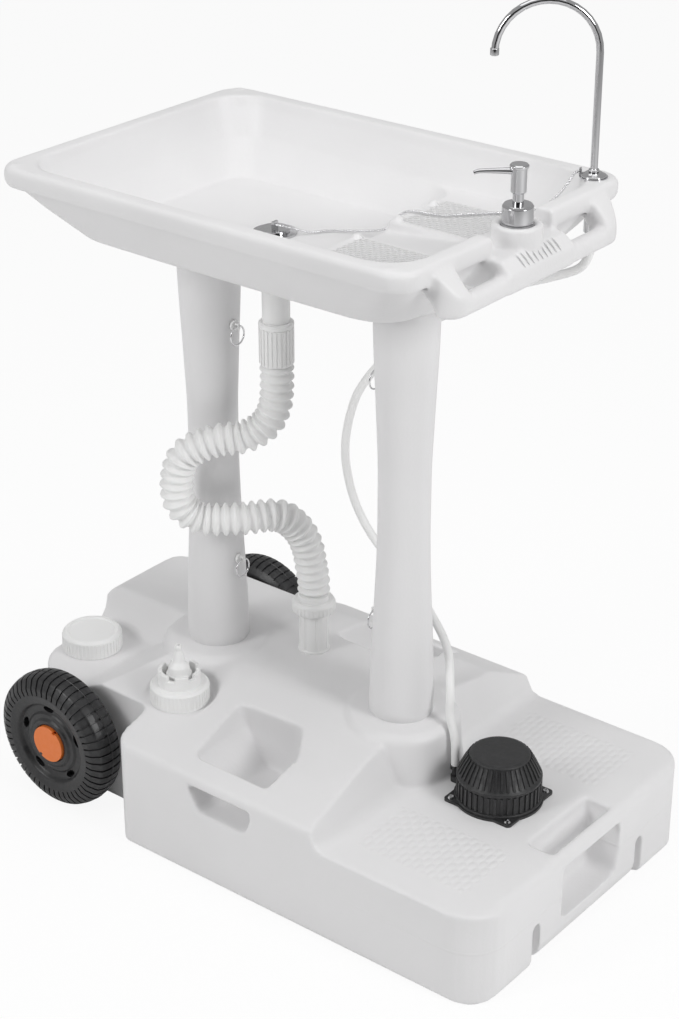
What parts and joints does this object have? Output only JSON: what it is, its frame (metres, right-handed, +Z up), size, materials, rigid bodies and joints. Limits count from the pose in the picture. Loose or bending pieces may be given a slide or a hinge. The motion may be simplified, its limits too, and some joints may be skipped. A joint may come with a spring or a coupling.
{
  "type": "wheeled camp wash stand",
  "caption": "Portable camp wash stand: basin tray with dish pads and carrying bar on columns pinned to a wheeled water tank, with foot pump, faucet, soap pump and ribbed drain hose.",
  "frame": {"origin": "on the floor under the middle of the tank, the centre of the bounding box's underside", "axes": "+X from the wheel end towards the foot pump end, +Y across the stand towards the faucet, +Z up"},
  "size_m": [0.75, 0.43, 1.005],
  "materials": {
    "moulded_white": "satin, blow moulded",
    "column_white": "satin, blow moulded",
    "fitting_white": "smooth, injection moulded",
    "clear_white": "slightly see-through",
    "hose_white": "thin, slightly see-through",
    "tube_white": "milky",
    "wheel_black": "satin, blow moulded",
    "hub_orange": "satin",
    "plated_steel": "zinc plated",
    "wire_steel": "bright wire",
    "chrome": "polished",
    "pump_black": "satin",
    "bulb_rubber": "satin, pebbled on top",
    "filter_blue": "satin",
    "seal_rubber": "matt"
  },
  "bodies": {
    "stand": {"tank": "moulded_white", "axle": "plated_steel", "axle_spacers": "fitting_white", "push_nuts": "plated_steel", "column_wheel_end": "column_white", "column_pump_end": "column_white", "tray": "moulded_white", "drain_strainer": "chrome", "drain_nut": "fitting_white", "drain_pipe": "fitting_white", "hose_nut_top": "fitting_white", "hose_nut_tank": "fitting_white", "waste_spigot": "fitting_white", "drain_hose": "hose_white", "bead_chain": "chrome", "chain_eye": "chrome", "faucet_base": "chrome", "faucet_nut": "chrome", "soap_collar": "chrome", "soap_chamber": "fitting_white", "soap_dip_tube": "tube_white", "soap_spring": "plated_steel", "pump_flange": "pump_black", "pump_screws": "chrome", "pump_bulb": "bulb_rubber", "pump_spring": "plated_steel", "suction_tube": "tube_white", "suction_filter": "filter_blue", "water_tube": "tube_white", "tube_clip": "pump_black"},
    "wheel_near": {"wheel_near": "wheel_black", "hub_cap_near": "hub_orange"},
    "wheel_far": {"wheel_far": "wheel_black", "hub_cap_far": "hub_orange"},
    "fill_cap": {"fill_cap": "fitting_white", "fill_seal": "seal_rubber"},
    "spout_cap": {"spout_cap": "fitting_white", "spout_tip": "clear_white", "spout_seal": "seal_rubber"},
    "pump_plate": {"pump_plate": "pump_black"},
    "soap_stem": {"soap_stem": "chrome"},
    "soap_head": {"soap_head": "chrome"},
    "faucet_spout": {"faucet_spout": "chrome"},
    "drain_stopper": {"drain_stopper": "chrome"},
    "pin_wheel_low": {"pin_wheel_low": "fitting_white"},
    "ring_wheel_low": {"ring_wheel_low": "wire_steel"},
    "pin_wheel_high": {"pin_wheel_high": "fitting_white"},
    "ring_wheel_high": {"ring_wheel_high": "wire_steel"},
    "pin_pump_low": {"pin_pump_low": "fitting_white"},
    "ring_pump_low": {"ring_pump_low": "wire_steel"},
    "pin_pump_high": {"pin_pump_high": "fitting_white"},
    "ring_pump_high": {"ring_pump_high": "wire_steel"}
  },
  "joints": [
    {"name": "wheel_near_spin", "type": "hinge", "parent": "stand", "child": "wheel_near", "pos_m": [-0.27, -0.1905, 0.088], "axis": [0, 1, 0], "continuous": true},
    {"name": "wheel_far_spin", "type": "hinge", "parent": "stand", "child": "wheel_far", "pos_m": [-0.27, 0.1905, 0.088], "axis": [0, 1, 0], "continuous": true},
    {"name": "fill_cap_lift", "type": "slide", "parent": "stand", "child": "fill_cap", "axis": [0, 0, 1], "range_m": [0, 0.045]},
    {"name": "spout_cap_lift", "type": "slide", "parent": "stand", "child": "spout_cap", "axis": [0, 0, 1], "range_m": [0, 0.045]},
    {"name": "pump_press", "type": "slide", "parent": "stand", "child": "pump_plate", "axis": [0, 0, -1], "range_m": [0, 0.02], "stiffness_N_per_m": 1200, "springref_m": -0.004, "deforming": ["pump_bulb", "pump_spring"]},
    {"name": "soap_press", "type": "slide", "parent": "stand", "child": "soap_stem", "axis": [0, 0, -1], "range_m": [0, 0.01], "stiffness_N_per_m": 300, "springref_m": -0.004, "deforming": ["soap_spring"]},
    {"name": "soap_swivel", "type": "hinge", "parent": "soap_stem", "child": "soap_head", "pos_m": [0.244, 0, 0.85], "axis": [0, 0, 1], "continuous": true},
    {"name": "faucet_swivel", "type": "hinge", "parent": "stand", "child": "faucet_spout", "pos_m": [0.226, 0.17, 0.82], "axis": [0, 0, 1], "range_deg": [-150, 150]},
    {"name": "stopper_lift", "type": "slide", "parent": "stand", "child": "drain_stopper", "axis": [0, 0, 1], "range_m": [0, 0.03], "deforming": ["bead_chain"]},
    {"name": "pin_wheel_low_pull", "type": "slide", "parent": "stand", "child": "pin_wheel_low", "axis": [1, 0, 0], "range_m": [0, 0.02]},
    {"name": "ring_wheel_low_swing", "type": "hinge", "parent": "pin_wheel_low", "child": "ring_wheel_low", "pos_m": [-0.13564, 0, 0.299], "axis": [0, -1, 0], "range_deg": [-8, 110]},
    {"name": "pin_wheel_high_pull", "type": "slide", "parent": "stand", "child": "pin_wheel_high", "axis": [1, 0, 0], "range_m": [0, 0.02]},
    {"name": "ring_wheel_high_swing", "type": "hinge", "parent": "pin_wheel_high", "child": "ring_wheel_high", "pos_m": [-0.13556, 0, 0.602], "axis": [0, -1, 0], "range_deg": [-8, 40]},
    {"name": "pin_pump_low_pull", "type": "slide", "parent": "stand", "child": "pin_pump_low", "axis": [-1, 0, 0], "range_m": [0, 0.02]},
    {"name": "ring_pump_low_swing", "type": "hinge", "parent": "pin_pump_low", "child": "ring_pump_low", "pos_m": [0.06564, 0, 0.299], "axis": [0, 1, 0], "range_deg": [-8, 110]},
    {"name": "pin_pump_high_pull", "type": "slide", "parent": "stand", "child": "pin_pump_high", "axis": [-1, 0, 0], "range_m": [0, 0.02]},
    {"name": "ring_pump_high_swing", "type": "hinge", "parent": "pin_pump_high", "child": "ring_pump_high", "pos_m": [0.06556, 0, 0.602], "axis": [0, 1, 0], "range_deg": [-8, 110]}
  ]
}
